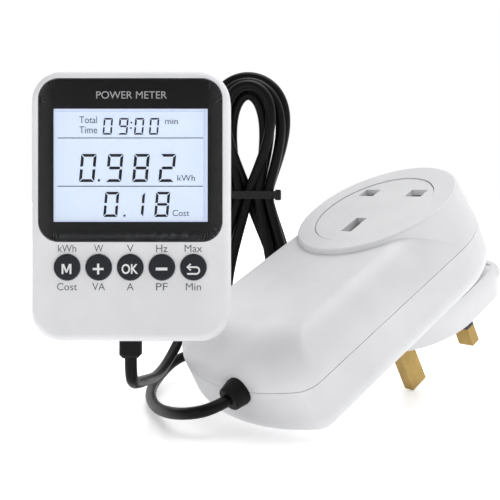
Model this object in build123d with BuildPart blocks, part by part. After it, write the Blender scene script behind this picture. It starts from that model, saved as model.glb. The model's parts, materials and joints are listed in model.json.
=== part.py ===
"""Plug-through energy meter with a separate wired display, in millimetres.

The row frame is +Z up, with the table at Z = 0 and the origin under the middle of the two housings.
The plug unit lies on its earth pin and on the lower edge of its cord end. The display unit stands
upright in front of it, and the spare cord is a tied hank behind the two.
"""

import os
from math import cos, pi, radians, sin, tan

from build123d import *

os.makedirs("parts", exist_ok=True)

# ---------------------------------------------------------------- driving dimensions
# Plug unit, in its own coordinates: X from the cord end to the round end, Z out of the socket face,
# zero midway between the earth pin and the other two pins, on the face that meets the wall.
PLUG_ORIGIN = (48.17, 22.62, 26.645)
PLUG_YAW = 39.0
PLUG_TILT = 28.99

BODY_BOTTOM = 13.0
BODY_SEAM = 30.7
BODY_TOP = 45.3
BODY_HALF_WIDTH = 31.8
BODY_NEAR_X = -84.0
BODY_FAR_X = 1.0
BODY_NEAR_BULGE = 7.5
BODY_CORNER = 7.0
BOTTOM_ROUND = 7.5
WALL = 2.0
SEAM_GAP = 0.2

DAIS_TOP = 47.0
DAIS_RADIUS = 29.2
SOCKET_RADIUS = 21.7
SOCKET_RECESS = 0.25

PIN_SPREAD = 11.1            # half of the 22.2 mm pitch, along X and across Y
EARTH_PIN = (8.0, 4.0, 22.7)
LINE_PIN = (4.0, 6.35, 17.7)
SLEEVE_LENGTH = 9.5
PIN_TOP = 17.0
BASE_CENTRE = 3.0
POCKET_START = 19.0           # where the finger pocket begins, towards the round end

# Display unit, in its own coordinates: X to the right, Y up, Z out of the front.
CASE_ORIGIN = (-48.3, -42.1, 69.4)
CASE_LEAN = 3.96
CASE_WIDTH = 59.2
CASE_HEIGHT = 80.4
CASE_DEPTH = 16.0
CASE_PARTING = -9.0
CASE_CORNER = 9.0
CASE_WALL = 1.8

LENS_SIZE = (54.8, 48.7)
LENS_CORNER = 6.2
LENS_Y = 13.7
WINDOW_SIZE = (45.8, 33.6)
WINDOW_Y = 12.2
BUTTON_NAMES = ("mode", "plus", "ok", "minus", "back")
BUTTON_PITCH = 9.36
BUTTON_Y = -18.1
BUTTON_RADIUS = 3.83
BUTTON_PROUD = 0.9

# Cord
CORD_RADIUS = 1.9


# ---------------------------------------------------------------- the two local frames
def plane_in(base, point, x_dir, z_dir):
    """A plane given by a point and two directions in another plane's own coordinates."""

    def turned(direction):
        x, y, z = direction
        return base.x_dir * x + base.y_dir * y + base.z_dir * z

    origin = base.from_local_coords(Vector(*point))
    return Plane(origin=origin, x_dir=turned(x_dir), z_dir=turned(z_dir))


yaw = radians(PLUG_YAW)
tilt = radians(PLUG_TILT)
lean = radians(CASE_LEAN)
along = Vector(cos(tilt) * cos(yaw), cos(tilt) * sin(yaw), sin(tilt))
across = Vector(-sin(yaw), cos(yaw), 0)
PLUG = Plane(origin=PLUG_ORIGIN, x_dir=along, z_dir=along.cross(across))
CASE = Plane(origin=CASE_ORIGIN, x_dir=(1, 0, 0), z_dir=(0, -cos(lean), sin(lean)))
PLUG_SECTION = plane_in(PLUG, (0, 0, 0), (1, 0, 0), (0, -1, 0))
PARTS = []


def keep(builder, name):
    """Labels a finished sub-part and writes it to its own file."""
    builder.part.label = name
    export_step(builder.part, f"parts/{name}.step")
    PARTS.append(builder.part)


# ---------------------------------------------------------------- plug unit: outlines
def body_outline(level, inset=0.0, near=None, far=0.0):
    """The plug unit's plan at one height, drawn smaller by `inset`, by `near` at the cord end
    and by a further `far` at the round end."""
    near = inset if near is None else near
    half = BODY_HALF_WIDTH - inset
    end = half - far
    apex = BODY_NEAR_X + near
    bulge = BODY_NEAR_BULGE * (half / BODY_HALF_WIDTH) ** 2
    with BuildSketch(PLUG.offset(level), mode=Mode.PRIVATE) as outline:
        with BuildLine():
            ThreePointArc((apex + bulge, -half), (apex, 0), (apex + bulge, half))
            Line((apex + bulge, half), (BODY_FAR_X, end))
            ThreePointArc((BODY_FAR_X, end), (BODY_FAR_X + end, 0), (BODY_FAR_X, -end))
            Line((BODY_FAR_X, -end), (apex + bulge, -half))
        make_face()
        fillet(outline.vertices().group_by(Axis.X)[0], max(BODY_CORNER - inset, 3.0))
    return outline.sketch


def base_outline(level, grow=0.0):
    """The plan of the pin base: a half round towards the cord end, wider and squarer at the far end."""
    half = 24.4 + grow
    far = 28.0 + grow
    corner = 12.0 + grow
    with BuildSketch(PLUG.offset(level), mode=Mode.PRIVATE) as outline:
        with BuildLine():
            ThreePointArc((BASE_CENTRE, half), (BASE_CENTRE - half, 0), (BASE_CENTRE, -half))
            Line((BASE_CENTRE, -half), (far, -half))
            Line((far, -half), (far, half))
            Line((far, half), (BASE_CENTRE, half))
        make_face()
        fillet(outline.vertices().group_by(Axis.X)[-1], corner)
    return outline.sketch


SHELL_SCREWS = [(-64.0, 20.5), (-64.0, -20.5), (-26.0, 20.5), (-26.0, -20.5)]
PCB_SCREWS = [(-71.5, 12.5), (-71.5, -12.5), (-33.5, 12.5), (-33.5, -12.5)]
CARRIER_POSTS = [(0.0, 17.0), (0.0, -17.0), (17.5, 0.0)]
LINE_PINS = {"live": (PIN_SPREAD, PIN_SPREAD), "neutral": (PIN_SPREAD, -PIN_SPREAD)}
EARTH = (-PIN_SPREAD, 0.0)
GLAND_Y = -6.4
GLAND_Z = BODY_SEAM
GLAND_RADIUS = 4.6
GLAND_FACE_X = -84.0
GLAND = plane_in(PLUG, (GLAND_FACE_X, GLAND_Y, GLAND_Z), (0, 1, 0), (-1, 0, 0))
SHELL_FLOOR = BODY_BOTTOM + WALL
SCREW_BOSS = 4.4
SCREW_HEAD = 2.7
SCREW_SEAT = 19.0
SCREW_PILOT = 1.25
PCB_LEVEL = 20.0


PLUG_UP = Axis(PLUG_ORIGIN, PLUG.z_dir)
CASE_OUT = Axis(CASE_ORIGIN, CASE.z_dir)
UPRIGHT = (Align.CENTER, Align.CENTER, Align.MIN)
HANGING = (Align.CENTER, Align.CENTER, Align.MAX)


# ---------------------------------------------------------------- plug unit: lower shell
with BuildPart(PLUG) as plug_lower_shell:
    extrude(body_outline(BODY_BOTTOM), amount=BODY_SEAM - SEAM_GAP / 2 - BODY_BOTTOM)
    fillet(plug_lower_shell.faces().sort_by(PLUG_UP)[0].edges(), BOTTOM_ROUND)
    # The cavity follows the rounded lower edge with two bevels, then runs straight up.
    loft([body_outline(SHELL_FLOOR, WALL + 4.0), body_outline(SHELL_FLOOR + 2.0, WALL + 1.3),
          body_outline(SHELL_FLOOR + 6.0, WALL)], ruled=True, mode=Mode.SUBTRACT)
    extrude(body_outline(SHELL_FLOOR + 6.0, WALL), amount=BODY_SEAM - SHELL_FLOOR - 6.0,
            mode=Mode.SUBTRACT)
    # A thin tongue stands inside the seam and locates the upper shell.
    extrude(body_outline(BODY_SEAM - 2.0, WALL - 0.8), amount=3.3)
    extrude(body_outline(BODY_SEAM - 2.2, WALL), amount=3.6, mode=Mode.SUBTRACT)
    with Locations(*[(x, y, SHELL_FLOOR - 0.5) for x, y in SHELL_SCREWS]):
        Cylinder(SCREW_BOSS, BODY_SEAM - SHELL_FLOOR, align=UPRIGHT)
    with Locations(*[(x, y, SHELL_FLOOR - 0.5) for x, y in PCB_SCREWS]):
        Cylinder(2.6, PCB_LEVEL - SHELL_FLOOR + 0.5, align=UPRIGHT)
    with Locations(*[(x, y, SHELL_FLOOR - 0.5) for x, y in CARRIER_POSTS]):
        Cylinder(2.4, 28.0 - SHELL_FLOOR + 0.5, align=UPRIGHT)
    with Locations(*[(x, y, BODY_BOTTOM - 1) for x, y in SHELL_SCREWS]):
        Cylinder(SCREW_HEAD, SCREW_SEAT - BODY_BOTTOM + 1, align=UPRIGHT, mode=Mode.SUBTRACT)
        Cylinder(1.7, 30, align=UPRIGHT, mode=Mode.SUBTRACT)
    with Locations(*[(x, y, PCB_LEVEL - 4) for x, y in PCB_SCREWS]):
        Cylinder(1.0, 10, align=UPRIGHT, mode=Mode.SUBTRACT)
    with Locations(*[(x, y, BODY_BOTTOM - 1) for x, y in LINE_PINS.values()]):
        Box(LINE_PIN[0], LINE_PIN[1], 5, align=UPRIGHT, mode=Mode.SUBTRACT)
    with Locations((EARTH[0], EARTH[1], BODY_BOTTOM - 1)):
        Box(EARTH_PIN[0], EARTH_PIN[1], 5, align=UPRIGHT, mode=Mode.SUBTRACT)
    with Locations((BODY_NEAR_X, GLAND_Y, GLAND_Z)):
        Cylinder(GLAND_RADIUS, 12, rotation=(0, 90, 0), mode=Mode.SUBTRACT)
keep(plug_lower_shell, "plug_lower_shell")


# ---------------------------------------------------------------- plug unit: upper shell
def rounded_top(height, side, near, steps):
    """Plans that close in like a quarter ellipse: from the seam up to `height` above it."""
    for step in range(steps + 1):
        turn = radians(90 * step / steps)
        shrink = 1 - cos(turn)
        yield height * sin(turn), side * shrink, near * shrink


with BuildPart(PLUG) as plug_upper_shell:
    seam = BODY_SEAM + SEAM_GAP / 2
    loft([body_outline(seam + rise, side, near, 1.2 * rise / 12)
          for rise, side, near in rounded_top(BODY_TOP - seam, 8.4, 15.0, 7)])
    with BuildSketch(PLUG.offset(seam)):
        with Locations((BODY_FAR_X, 0)):
            Circle(BODY_HALF_WIDTH)
    with BuildSketch(PLUG.offset(DAIS_TOP)):
        with Locations((BODY_FAR_X, 0)):
            Circle(DAIS_RADIUS)
    loft()
    fillet(plug_upper_shell.faces().sort_by(PLUG_UP)[-1].edges(), 0.9)
    loft([body_outline(seam - 0.01 + rise, WALL + side, WALL + near)
          for rise, side, near in rounded_top(10.0, 6.0, 13.0, 5)], mode=Mode.SUBTRACT)
    extrude(body_outline(seam - 0.01, WALL - 0.9), amount=1.5, mode=Mode.SUBTRACT)
    with Locations((0, 0, seam)):
        Cylinder(SOCKET_RADIUS + 0.25, 30, align=UPRIGHT, mode=Mode.SUBTRACT)
    with Locations(*[(x, y, seam - 0.2) for x, y in SHELL_SCREWS]):
        Cylinder(3.4, 11, align=UPRIGHT)
    with Locations(*[(x, y, seam - 1) for x, y in SHELL_SCREWS]):
        Cylinder(SCREW_PILOT, 10, align=UPRIGHT, mode=Mode.SUBTRACT)
    with Locations((BODY_NEAR_X, GLAND_Y, GLAND_Z)):
        Cylinder(GLAND_RADIUS, 12, rotation=(0, 90, 0), mode=Mode.SUBTRACT)
keep(plug_upper_shell, "plug_upper_shell")


# ---------------------------------------------------------------- plug unit: socket face and shutter
INSERT_PLATE = 44.5
INSERT_WALL = 1.1
INSERT_BOTTOM = 33.0
SHUTTER_LEVEL = 42.7
SHUTTER_THICK = 1.5
SPRING_POST_X = -2.0

with BuildPart(PLUG) as socket_insert:
    with Locations((0, 0, INSERT_BOTTOM)):
        Cylinder(SOCKET_RADIUS, DAIS_TOP - SOCKET_RECESS - INSERT_BOTTOM, align=UPRIGHT)
    fillet(socket_insert.faces().sort_by(PLUG_UP)[-1].edges(), 0.35)
    with Locations((0, 0, INSERT_BOTTOM)):
        Cylinder(SOCKET_RADIUS - INSERT_WALL, INSERT_PLATE - INSERT_BOTTOM, align=UPRIGHT,
                 mode=Mode.SUBTRACT)
    with Locations((0, 0, 38.9)):
        Cylinder(SOCKET_RADIUS + 1.4, 1.6, align=UPRIGHT)
        Cylinder(SOCKET_RADIUS - INSERT_WALL, 1.6, align=UPRIGHT, mode=Mode.SUBTRACT)
    with Locations(*[(x, y, INSERT_PLATE - 1) for x, y in LINE_PINS.values()]):
        Box(4.8, 7.2, 5, align=UPRIGHT, mode=Mode.SUBTRACT)
    with Locations((EARTH[0], EARTH[1], INSERT_PLATE - 1)):
        Box(9.2, 4.8, 5, align=UPRIGHT, mode=Mode.SUBTRACT)
    with Locations((SPRING_POST_X, 0, INSERT_PLATE + 0.5)):
        Box(1.2, 4.0, 5.2, align=HANGING)
keep(socket_insert, "socket_insert")

# The shutter is a plate behind the two line slots, joined by two rails to a wedge behind the earth
# slot. An earth pin pushes the wedge, and with it the plate, towards the cord end.
with BuildPart(PLUG) as shutter:
    with Locations((PIN_SPREAD, 0, SHUTTER_LEVEL)):
        Box(5.0, 30.4, SHUTTER_THICK, align=UPRIGHT)
    with Locations((-1.0, 4.9, SHUTTER_LEVEL), (-1.0, -4.9, SHUTTER_LEVEL)):
        Box(26.0, 1.4, SHUTTER_THICK, align=UPRIGHT)
    with BuildSketch(PLUG_SECTION):
        Polygon((-14.2, 44.2), (-14.2, 42.7), (-10.1, 42.7), (-10.1, 42.9), (-11.8, 44.2), align=None)
    extrude(amount=5.6, both=True)
    with Locations((8.2, 0, SHUTTER_LEVEL + 0.5)):
        Box(1.2, 4.0, 3.5, align=HANGING)
keep(shutter, "shutter")

SPRING_START = (SPRING_POST_X + 0.85, 0, 41.0)
with BuildPart() as shutter_spring:
    with BuildLine():
        coil = Helix(pitch=1.5, height=8.3, radius=1.1, direction=PLUG.x_dir,
                     center=PLUG.from_local_coords(Vector(*SPRING_START)))
    with BuildSketch(Plane(origin=coil @ 0, z_dir=coil % 0)):
        Circle(0.2)
    sweep(path=coil.edges()[0])
keep(shutter_spring, "shutter_spring")


# ---------------------------------------------------------------- plug unit: pins, contacts, base
def make_pin(name, size, place, sleeved):
    """A rectangular pin with a chamfered tip, thinner where its sleeve sits flush round it."""
    length_x, length_y, depth = size
    with BuildPart(PLUG) as pin:
        with Locations((*place, PIN_TOP)):
            Box(length_x, length_y, PIN_TOP + depth, align=HANGING)
        chamfer(pin.faces().sort_by(PLUG_UP)[0].edges(), 1.1)
        if sleeved:
            with Locations((*place, -SLEEVE_LENGTH)):
                Box(length_x + 1, length_y + 1, SLEEVE_LENGTH, align=UPRIGHT, mode=Mode.SUBTRACT)
                Box(length_x - 1, length_y - 1, SLEEVE_LENGTH, align=UPRIGHT)
    keep(pin, name)


def make_sleeve(name, size, place):
    """The insulating sleeve round the root of a line pin."""
    with BuildPart(PLUG) as sleeve:
        with Locations((*place, 0)):
            Box(size[0], size[1], SLEEVE_LENGTH, align=HANGING)
            Box(size[0] - 1, size[1] - 1, SLEEVE_LENGTH, align=HANGING, mode=Mode.SUBTRACT)
    keep(sleeve, name)


make_pin("pin_earth", EARTH_PIN, EARTH, sleeved=False)
for wire, wire_place in LINE_PINS.items():
    make_pin(f"pin_{wire}", LINE_PIN, wire_place, sleeved=True)
    make_sleeve(f"sleeve_{wire}", LINE_PIN, wire_place)

CONTACT_BOTTOM = 31.5
CONTACT_TOP = 41.5
CARRIER_TOP = 30.4
CARRIER_BOTTOM = 28.0
STRAP_THICK = 1.0


def make_contact(name, place, width, turned):
    """A U of spring bronze: two leaves that grip a pin, with a web and a foot below them."""
    leaf = 0.8
    gap = 3.8
    size = (width, gap + 2 * leaf) if turned else (gap + 2 * leaf, width)
    hole = (width + 1, gap) if turned else (gap, width + 1)
    with BuildPart(PLUG) as clip:
        with Locations((*place, CARRIER_TOP)):
            Box(*size, CONTACT_TOP - CARRIER_TOP, align=UPRIGHT)
        with Locations((*place, CONTACT_BOTTOM)):
            Box(*hole, CONTACT_TOP - CONTACT_BOTTOM + 1, align=UPRIGHT, mode=Mode.SUBTRACT)
        with Locations((*place, CARRIER_TOP)):
            Box(3.0, 3.0, CARRIER_TOP - PIN_TOP - STRAP_THICK, align=HANGING)
    keep(clip, name)


make_contact("contact_earth", EARTH, 7.0, turned=True)
for wire, wire_place in LINE_PINS.items():
    make_contact(f"contact_{wire}", wire_place, 6.2, turned=False)

with BuildPart(PLUG) as contact_carrier:
    with Locations((0, 0, CARRIER_BOTTOM)):
        Cylinder(20.0, CARRIER_TOP - CARRIER_BOTTOM, align=UPRIGHT)
    with Locations(*[(x, y, CARRIER_BOTTOM - 1) for x, y in [*LINE_PINS.values(), EARTH]]):
        Box(3.2, 3.2, 5, align=UPRIGHT, mode=Mode.SUBTRACT)
keep(contact_carrier, "contact_carrier")

def make_strap(name, place, sensing):
    """A strap from a pin's inner end to its contact's foot. The sensing one is the measuring shunt,
    with an arm that reaches towards the meter board."""
    with BuildPart(PLUG) as strap:
        with Locations((*place, PIN_TOP)):
            Box(3.4, 3.4, STRAP_THICK, align=UPRIGHT)
        if sensing:
            with Locations((place[0] - 5.0, place[1], PIN_TOP)):
                Box(9.0, 2.0, STRAP_THICK, align=UPRIGHT)
            with Locations((place[0] - 9.0, place[1], PIN_TOP)):
                Box(STRAP_THICK, 2.0, 4.0, align=UPRIGHT)
    keep(strap, name)


make_strap("shunt_strap", LINE_PINS["live"], sensing=True)
make_strap("neutral_strap", LINE_PINS["neutral"], sensing=False)
make_strap("earth_strap", EARTH, sensing=False)

# The base flares up to meet the body. At the round end a finger pocket lies behind an upturned lip.
with BuildPart(PLUG) as base_form:
    loft([base_outline(0), base_outline(2.5, 0.7), base_outline(7.8, 2.4),
          base_outline(BODY_BOTTOM, 3.0)])
    fillet(base_form.faces().sort_by(PLUG_UP)[0].edges(), 0.8)

with BuildPart(PLUG) as finger_pocket:
    loft([base_outline(1.8, -1.4), base_outline(4.5, -0.6), base_outline(8.2, 0.8)])
    with Locations((POCKET_START + 10, 0, 7.8)):
        Box(40.0, 80.0, 8.0, align=UPRIGHT)
    with Locations((POCKET_START - 60, 0, -1)):
        Box(120.0, 90.0, 20.0, align=UPRIGHT, mode=Mode.SUBTRACT)

with BuildPart(PLUG) as base_neck:
    loft([base_outline(1.0, -4.2), base_outline(5.0, -4.6), base_outline(10.0, -3.0),
          base_outline(BODY_BOTTOM, -0.6)])

with BuildPart(PLUG) as pin_holes:
    with Locations(*[(x, y, -1) for x, y in LINE_PINS.values()]):
        Box(LINE_PIN[0], LINE_PIN[1], 16, align=UPRIGHT)
    with Locations((EARTH[0], EARTH[1], -1)):
        Box(EARTH_PIN[0], EARTH_PIN[1], 16, align=UPRIGHT)

with BuildPart() as plug_base:
    add(base_form.part)
    add(finger_pocket.part, mode=Mode.SUBTRACT)
    add(base_neck.part)
    add(pin_holes.part, mode=Mode.SUBTRACT)
keep(plug_base, "plug_base")


# ---------------------------------------------------------------- plug unit: electronics and fixings
PCB_THICK = 1.6
PCB_TOP = PCB_LEVEL + PCB_THICK

with BuildPart(PLUG) as meter_board:
    with Locations((-52.5, 0, PCB_LEVEL)):
        Box(45.0, 30.0, PCB_THICK, align=UPRIGHT)
    with Locations(*[(x, y, PCB_LEVEL - 1) for x, y in PCB_SCREWS]):
        Cylinder(1.1, 5, align=UPRIGHT, mode=Mode.SUBTRACT)
keep(meter_board, "meter_board")

with BuildPart(PLUG) as suppression_capacitor:
    with Locations((-42.0, 3.5, PCB_TOP)):
        Box(13.0, 6.0, 12.0, align=UPRIGHT)
    fillet(suppression_capacitor.faces().sort_by(PLUG_UP)[-1].edges(), 0.8)
keep(suppression_capacitor, "suppression_capacitor")

VARISTOR_PLACE = (-38.0, -8.0, PCB_TOP)
VARISTOR_RADIUS = 5.0
with BuildPart(plane_in(PLUG, VARISTOR_PLACE, (1, 0, 0), (0, -1, 0))) as surge_varistor:
    with Locations((0, 2.5 + VARISTOR_RADIUS, 0)):
        Cylinder(VARISTOR_RADIUS, 4.0)
    fillet(surge_varistor.edges(), 1.2)
    with Locations((-2.5, 2.0, 0), (2.5, 2.0, 0)):
        Box(0.8, 4.0, 0.8)
keep(surge_varistor, "surge_varistor")

with BuildPart(PLUG) as metering_chip:
    with Locations((-57.0, -6.0, PCB_TOP)):
        Box(7.0, 5.3, 1.4, align=UPRIGHT)
        with Locations(*[(x, y, 0) for x in (-2.4, -0.8, 0.8, 2.4) for y in (-3.1, 3.1)]):
            Box(0.5, 1.2, 0.6, align=UPRIGHT)
keep(metering_chip, "metering_chip")

with BuildPart(PLUG) as crystal:
    with Locations((-50.0, -10.0, PCB_TOP)):
        Box(4.5, 10.0, 3.5, align=UPRIGHT)
    fillet(crystal.edges().filter_by(PLUG_UP), 1.8)
keep(crystal, "crystal")

with BuildPart(PLUG) as cord_socket:
    with Locations((-70.5, 0, PCB_TOP)):
        Box(6.0, 10.0, 5.5, align=UPRIGHT)
    with Locations((-72.5, 0, PCB_TOP + 1.0)):
        Box(5.0, 8.4, 3.5, align=UPRIGHT, mode=Mode.SUBTRACT)
keep(cord_socket, "cord_socket")


def screw(base, place, shank, head_radius, head_height):
    """A pan-head screw with a cross recess. Its head's underside is at `place`, the shank runs along
    the plane's +Z and the head along -Z."""
    radius, length = shank
    with BuildPart(base) as one:
        with Locations(place):
            Cylinder(radius, length, align=UPRIGHT)
            Cylinder(head_radius, head_height, align=HANGING)
        x, y, z = place
        with Locations((x, y, z - head_height)):
            Box(head_radius * 1.2, 0.5, head_height, mode=Mode.SUBTRACT)
            Box(0.5, head_radius * 1.2, head_height, mode=Mode.SUBTRACT)
    return one.part


SHELL_SCREW_SET = [screw(PLUG, (x, y, SCREW_SEAT), (SCREW_PILOT, 19.5), 2.5, 1.8)
                   for x, y in SHELL_SCREWS]
with BuildPart() as shell_screws:
    add(SHELL_SCREW_SET)
keep(shell_screws, "shell_screws")

PCB_SCREW_PLANE = plane_in(PLUG, (0, 0, 0), (1, 0, 0), (0, 0, -1))
BOARD_SCREW_SET = [screw(PCB_SCREW_PLANE, (x, -y, -PCB_TOP), (1.0, 5.0), 1.9, 1.2)
                   for x, y in PCB_SCREWS]
with BuildPart() as board_screws:
    add(BOARD_SCREW_SET)
keep(board_screws, "board_screws")

GLAND_LENGTH = 4.4
with BuildPart(GLAND) as cable_gland:
    with Locations((0, 0, -4.2)):
        Cylinder(GLAND_RADIUS, 4.4, align=UPRIGHT)
    with Locations((0, 0, 0.2)):
        Cone(GLAND_RADIUS + 0.1, 3.9, GLAND_LENGTH - 0.2, align=UPRIGHT)
    fillet(cable_gland.faces().sort_by(Axis(GLAND.origin, GLAND.z_dir))[-1].edges(), 0.7)
    with Locations((0, 0, -5)):
        Cylinder(CORD_RADIUS, 20, align=UPRIGHT, mode=Mode.SUBTRACT)
keep(cable_gland, "cable_gland")


# ---------------------------------------------------------------- display unit: case
CASE_SCREWS = [(24.0, 34.9), (-24.0, 34.9), (24.0, -34.9), (-24.0, -34.9)]
LENS_THICK = 1.0
MASK_THICK = 0.2
BUTTONS = [((index - 2) * BUTTON_PITCH, BUTTON_Y) for index in range(5)]
BOOT_X = -1.0
BOOT = plane_in(CASE, (BOOT_X, -CASE_HEIGHT / 2, CASE_PARTING), (1, 0, 0), (0, -1, 0))
BOOT_NECK = 2.6
STAND_HINGE_Y = 12.0
STAND_HINGE_Z = -14.2
STAND_WIDTH = 26.0
STAND_REACH = 40.0
STAND_POCKET = (STAND_WIDTH + 1.0, 44.2)
STAND_MIDDLE_Y = STAND_HINGE_Y + 3.0 - STAND_POCKET[1] / 2
STAND_PIN_RADIUS = 0.8
STAND_POCKET_Z = -CASE_DEPTH + 3.6
KEYHOLE_Y = 25.0

with BuildPart(CASE) as display_front_case:
    with BuildSketch(CASE):
        RectangleRounded(CASE_WIDTH, CASE_HEIGHT, CASE_CORNER)
    extrude(amount=CASE_PARTING + 0.05)
    fillet(display_front_case.faces().sort_by(CASE_OUT)[-1].edges(), 2.2)
    with BuildSketch(CASE.offset(CASE_PARTING)):
        RectangleRounded(CASE_WIDTH - 2 * CASE_WALL, CASE_HEIGHT - 2 * CASE_WALL,
                         CASE_CORNER - CASE_WALL)
    extrude(amount=-CASE_PARTING - CASE_WALL, mode=Mode.SUBTRACT)
    with BuildSketch(CASE):
        with Locations((0, LENS_Y)):
            RectangleRounded(*LENS_SIZE, LENS_CORNER)
    extrude(amount=-LENS_THICK - MASK_THICK, mode=Mode.SUBTRACT)
    with BuildSketch(CASE):
        with Locations((0, WINDOW_Y)):
            RectangleRounded(WINDOW_SIZE[0] + 2.0, WINDOW_SIZE[1] + 2.0, 1.5)
        with Locations(*BUTTONS):
            Circle(BUTTON_RADIUS + 0.15)
    extrude(amount=-5, mode=Mode.SUBTRACT)
    with Locations(*[(x, y, CASE_PARTING + 0.3) for x, y in CASE_SCREWS]):
        Cylinder(2.1, -CASE_PARTING - CASE_WALL, align=UPRIGHT)
    with Locations(*[(x, y, CASE_PARTING) for x, y in CASE_SCREWS]):
        Cylinder(0.8, 7.0, align=UPRIGHT, mode=Mode.SUBTRACT)
    with Locations((BOOT_X, -CASE_HEIGHT / 2, CASE_PARTING)):
        Cylinder(BOOT_NECK, 8, rotation=(90, 0, 0), mode=Mode.SUBTRACT)
keep(display_front_case, "display_front_case")

with BuildPart(CASE) as display_rear_case:
    with BuildSketch(CASE.offset(-CASE_DEPTH)):
        RectangleRounded(CASE_WIDTH, CASE_HEIGHT, CASE_CORNER)
    extrude(amount=CASE_DEPTH + CASE_PARTING - 0.15)
    fillet(display_rear_case.faces().sort_by(CASE_OUT)[0].edges(), 2.6)
    with BuildSketch(CASE.offset(-CASE_DEPTH + CASE_WALL)):
        RectangleRounded(CASE_WIDTH - 2 * CASE_WALL, CASE_HEIGHT - 2 * CASE_WALL,
                         CASE_CORNER - CASE_WALL)
    extrude(amount=CASE_DEPTH, mode=Mode.SUBTRACT)
    # A tongue stands up into the front case.
    with BuildSketch(CASE.offset(CASE_PARTING - 2)):
        RectangleRounded(CASE_WIDTH - 2 * CASE_WALL + 1.4, CASE_HEIGHT - 2 * CASE_WALL + 1.4,
                         CASE_CORNER - CASE_WALL + 0.7)
        RectangleRounded(CASE_WIDTH - 2 * CASE_WALL, CASE_HEIGHT - 2 * CASE_WALL,
                         CASE_CORNER - CASE_WALL, mode=Mode.SUBTRACT)
    extrude(amount=1.7)
    with Locations(*[(x, y, -CASE_DEPTH + 1) for x, y in CASE_SCREWS]):
        Cylinder(2.9, CASE_DEPTH + CASE_PARTING - 1.0, align=UPRIGHT)
        Cylinder(1.1, 20, mode=Mode.SUBTRACT)
        Cylinder(2.1, 4, mode=Mode.SUBTRACT)
    # A pocket for the folded stand, open at the back, with the hinge pin's hole across its top.
    with Locations((0, STAND_MIDDLE_Y, -CASE_DEPTH + 1)):
        Box(STAND_POCKET[0] + 3.0, STAND_POCKET[1] + 3.0, STAND_POCKET_Z + CASE_DEPTH,
            align=UPRIGHT)
    with Locations((0, STAND_MIDDLE_Y, -CASE_DEPTH - 1)):
        Box(*STAND_POCKET, STAND_POCKET_Z + CASE_DEPTH + 1, align=UPRIGHT, mode=Mode.SUBTRACT)
    with Locations((0, STAND_HINGE_Y, STAND_HINGE_Z)):
        Cylinder(STAND_PIN_RADIUS, STAND_WIDTH + 3.4, rotation=(0, 90, 0), mode=Mode.SUBTRACT)
    # A keyhole for a wall screw: a round entry with a narrow slot above it.
    with Locations((0, KEYHOLE_Y, -CASE_DEPTH)):
        Cylinder(3.6, 4, mode=Mode.SUBTRACT)
    with Locations((0, KEYHOLE_Y + 3.5, -CASE_DEPTH)):
        Box(3.6, 7.0, 4, mode=Mode.SUBTRACT)
    with Locations((0, KEYHOLE_Y + 7.0, -CASE_DEPTH)):
        Cylinder(1.8, 4, mode=Mode.SUBTRACT)
    with Locations((BOOT_X, -CASE_HEIGHT / 2, CASE_PARTING)):
        Cylinder(BOOT_NECK, 8, rotation=(90, 0, 0), mode=Mode.SUBTRACT)
keep(display_rear_case, "display_rear_case")


# ---------------------------------------------------------------- display unit: lens, screen, board
LENS_GAP = 0.12
LCD_SIZE = (50.0, 40.0)
LCD_Y = 11.2
LCD_FRONT = -CASE_WALL - 0.2
LCD_THICK = 1.9
LIGHT_SIZE = (50.0, 36.0)
LIGHT_Y = 13.2
LIGHT_THICK = 2.2
BOARD_FRONT = -6.4
BOARD_THICK = 1.2

with BuildPart(CASE) as display_lens:
    with BuildSketch(CASE.offset(-LENS_THICK)):
        with Locations((0, LENS_Y)):
            RectangleRounded(LENS_SIZE[0] - 2 * LENS_GAP, LENS_SIZE[1] - 2 * LENS_GAP,
                             LENS_CORNER - LENS_GAP)
    extrude(amount=LENS_THICK)
    fillet(display_lens.faces().sort_by(CASE_OUT)[-1].edges(), 0.3)
keep(display_lens, "display_lens")

with BuildPart(CASE) as lens_mask:
    with BuildSketch(CASE.offset(-LENS_THICK - MASK_THICK)):
        with Locations((0, LENS_Y)):
            RectangleRounded(LENS_SIZE[0] - 2 * LENS_GAP, LENS_SIZE[1] - 2 * LENS_GAP,
                             LENS_CORNER - LENS_GAP)
        with Locations((0, WINDOW_Y)):
            Rectangle(*WINDOW_SIZE, mode=Mode.SUBTRACT)
    extrude(amount=MASK_THICK)
keep(lens_mask, "lens_mask")

with BuildPart(CASE) as lcd_panel:
    with Locations((0, LCD_Y, LCD_FRONT)):
        Box(*LCD_SIZE, LCD_THICK, align=HANGING)
keep(lcd_panel, "lcd_panel")

with BuildPart(CASE) as backlight_guide:
    with Locations((0, LIGHT_Y, LCD_FRONT - LCD_THICK)):
        Box(*LIGHT_SIZE, LIGHT_THICK, align=HANGING)
    chamfer(backlight_guide.faces().sort_by(CASE_OUT)[0].edges(), 0.6)
keep(backlight_guide, "backlight_guide")

with BuildPart(CASE) as contact_strip:
    with Locations((0, LCD_Y - LCD_SIZE[1] / 2 + 1.4, BOARD_FRONT)):
        Box(46.0, 2.0, LCD_FRONT - LCD_THICK - BOARD_FRONT, align=UPRIGHT)
keep(contact_strip, "contact_strip")

with BuildPart(CASE) as screen_holder:
    with BuildSketch(CASE.offset(BOARD_FRONT)):
        with Locations((0, LCD_Y)):
            RectangleRounded(LCD_SIZE[0] + 2.6, LCD_SIZE[1] + 1.9, 1.0)
            Rectangle(LCD_SIZE[0] + 0.2, LCD_SIZE[1] + 0.2, mode=Mode.SUBTRACT)
    extrude(amount=LCD_FRONT - BOARD_FRONT)
keep(screen_holder, "screen_holder")

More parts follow.
